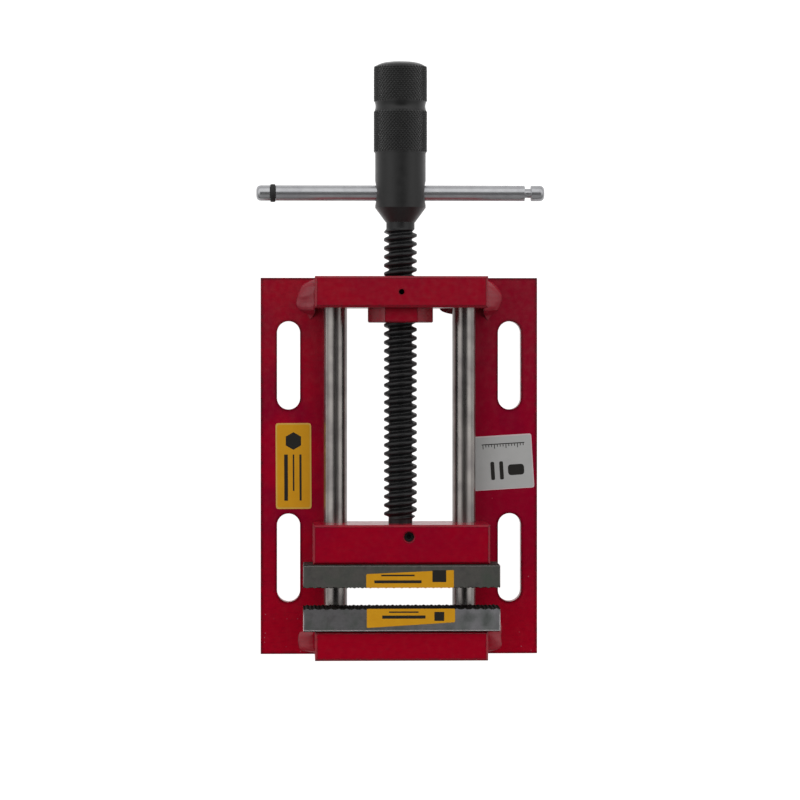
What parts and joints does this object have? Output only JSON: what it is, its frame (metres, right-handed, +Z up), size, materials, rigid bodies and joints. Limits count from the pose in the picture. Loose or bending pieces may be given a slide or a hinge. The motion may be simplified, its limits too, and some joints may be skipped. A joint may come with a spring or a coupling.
{
  "type": "drill press vise",
  "caption": "Low vise for a drill press table: serrated jaw plates, a jaw guided on rods, a lead screw with a sliding bar handle, and slotted base flanges.",
  "frame": {"origin": "centre of the base slots' pattern, on the underside of the flanges", "axes": "+X along the lead screw towards the handle, +Y to the left of someone looking that way, +Z up"},
  "size_m": [0.3062, 0.148, 0.05],
  "materials": {
    "red_enamel": "gloss enamel over welded bar steel",
    "ground_steel": "centreless ground, lightly oiled",
    "milled_steel": "milled, dull",
    "black_oxide": "black oxide, oiled",
    "bright_plating": "bright zinc or nickel plating",
    "ring_rubber": "matt black rubber"
  },
  "bodies": {
    "base": {"base_flange_left": "red_enamel", "base_flange_right": "red_enamel", "rear_crossbar": "red_enamel", "fixed_jaw_block": "red_enamel", "guide_rod_left": "ground_steel", "guide_rod_right": "ground_steel", "lead_nut": "red_enamel", "weld_rear_left": "red_enamel", "weld_rear_right": "red_enamel", "weld_front_left": "red_enamel", "weld_front_right": "red_enamel", "weld_inner_right": "red_enamel", "fixed_jaw_plate": "milled_steel", "fixed_plate_screw_left": "black_oxide", "fixed_plate_screw_right": "black_oxide"},
    "jaw": {"moving_jaw_block": "red_enamel", "moving_jaw_plate": "milled_steel", "moving_plate_screw_left": "black_oxide", "moving_plate_screw_right": "black_oxide", "screw_retainer": "black_oxide"},
    "screw": {"lead_screw": "black_oxide", "handle_hub": "black_oxide"},
    "bar": {"tommy_bar": "bright_plating", "tommy_bar_ring": "ring_rubber"}
  },
  "joints": [
    {"name": "jaw_slide", "type": "slide", "parent": "base", "child": "jaw", "axis": [1, 0, 0], "range_m": [-0.0099, 0.1025]},
    {"name": "screw_turn", "type": "hinge", "parent": "jaw", "child": "screw", "pos_m": [0, 0, 0.028], "axis": [1, 0, 0], "range_deg": [-812, 8388]},
    {"name": "bar_slide", "type": "slide", "parent": "screw", "child": "bar", "axis": [0, 1, 0], "range_m": [-0.0523, 0.0523]}
  ],
  "couplings": [
    {"joint": "screw_turn", "follows": "jaw_slide", "rad_per_m": 1428}
  ]
}
